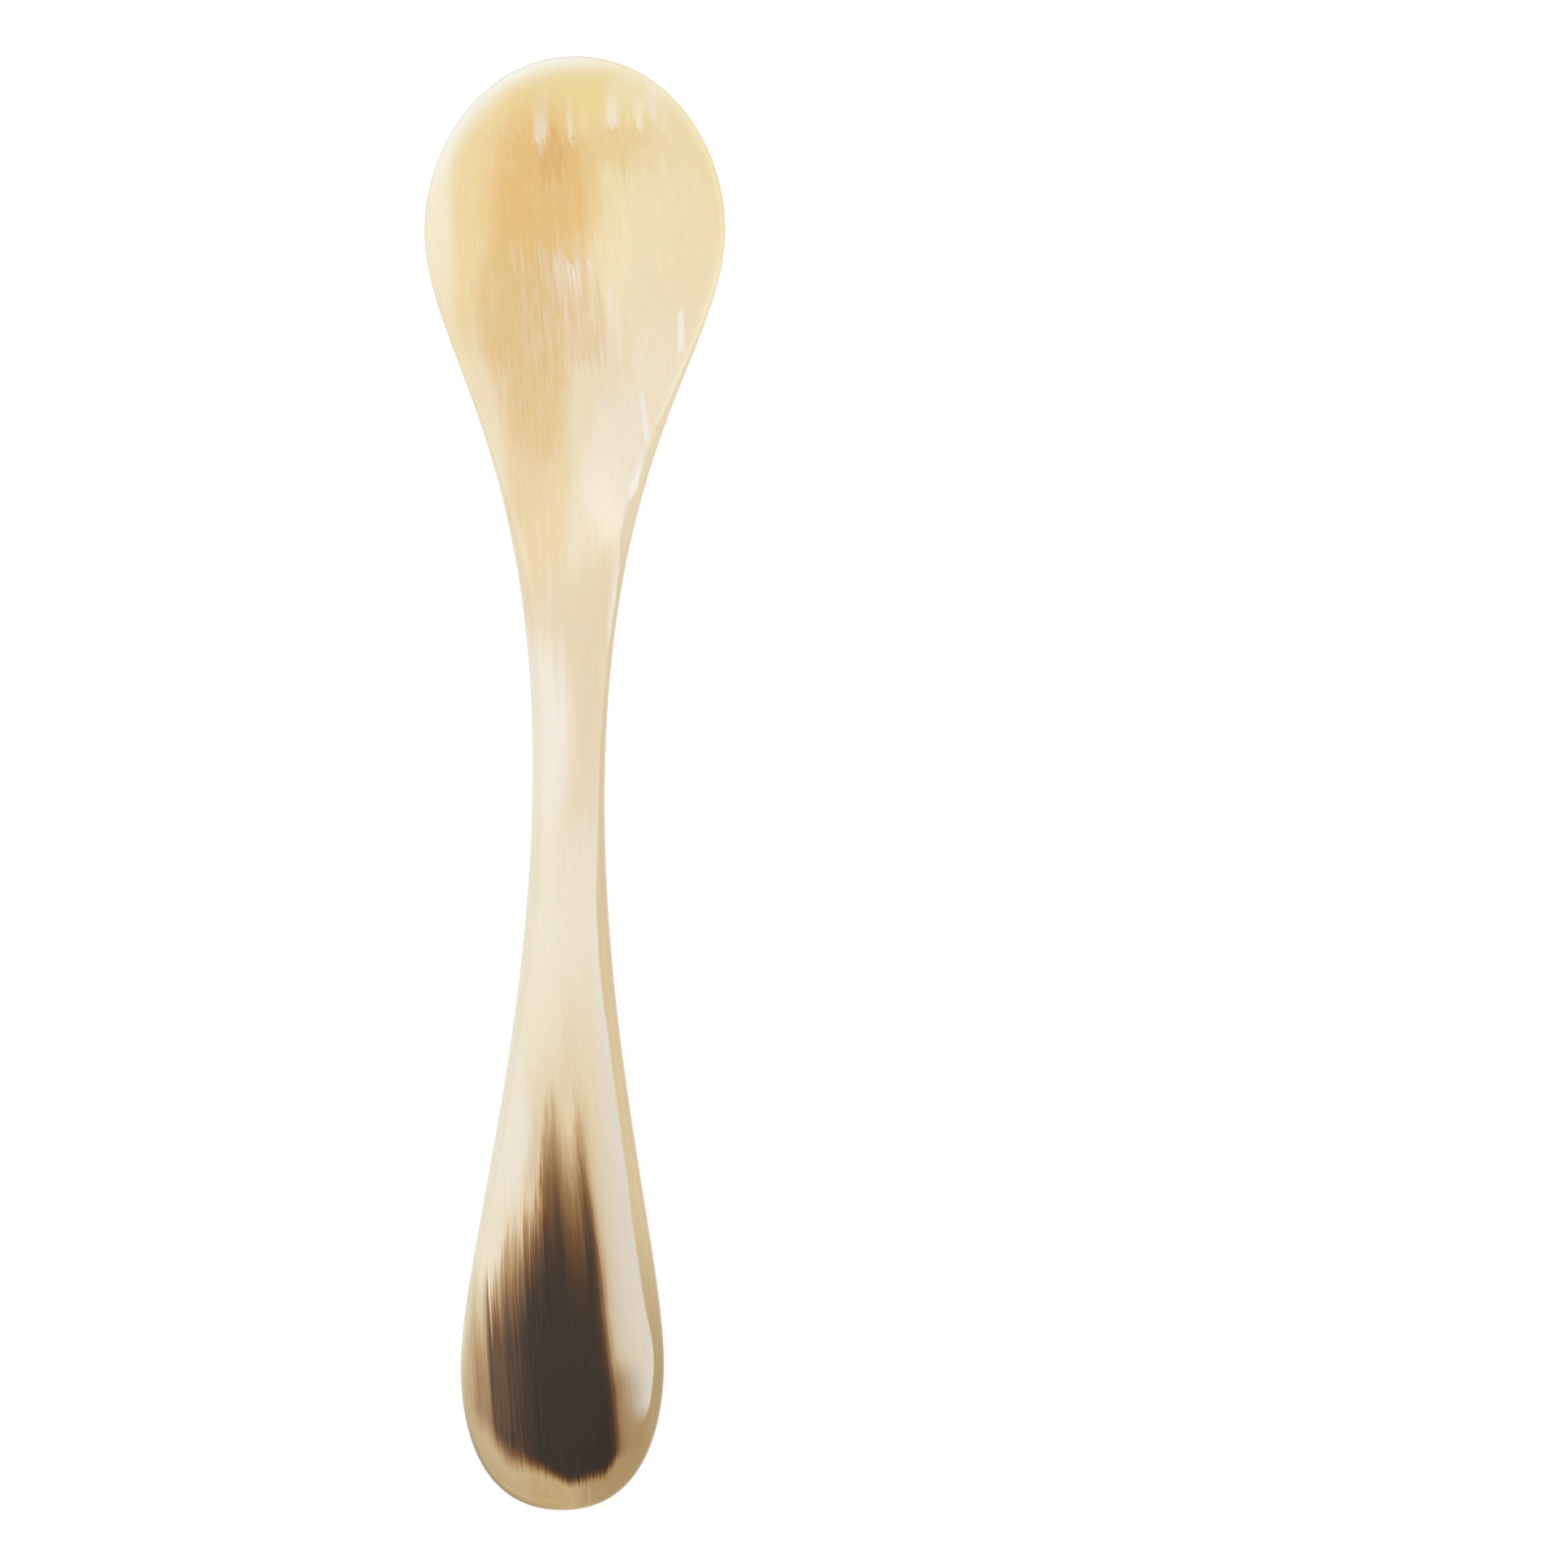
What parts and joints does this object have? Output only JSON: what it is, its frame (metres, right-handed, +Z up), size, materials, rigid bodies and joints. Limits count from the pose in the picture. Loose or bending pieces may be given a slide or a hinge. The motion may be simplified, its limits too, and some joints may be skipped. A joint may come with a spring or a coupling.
{
  "type": "caviar spoon",
  "caption": "Small spoon carved from one piece of pale horn, with an oval bowl, a slim neck and a flat paddle-shaped handle, for serving roe.",
  "frame": {"origin": "centre of the spoon's outline, on the table it lies on", "axes": "+X across the spoon, +Y along it from the end of the handle to the tip of the bowl, +Z up out of the open bowl"},
  "size_m": [0.027, 0.13, 0.0088],
  "materials": {
    "horn": "satin"
  },
  "bodies": {
    "root": {"spoon": "horn"}
  },
  "joints": []
}
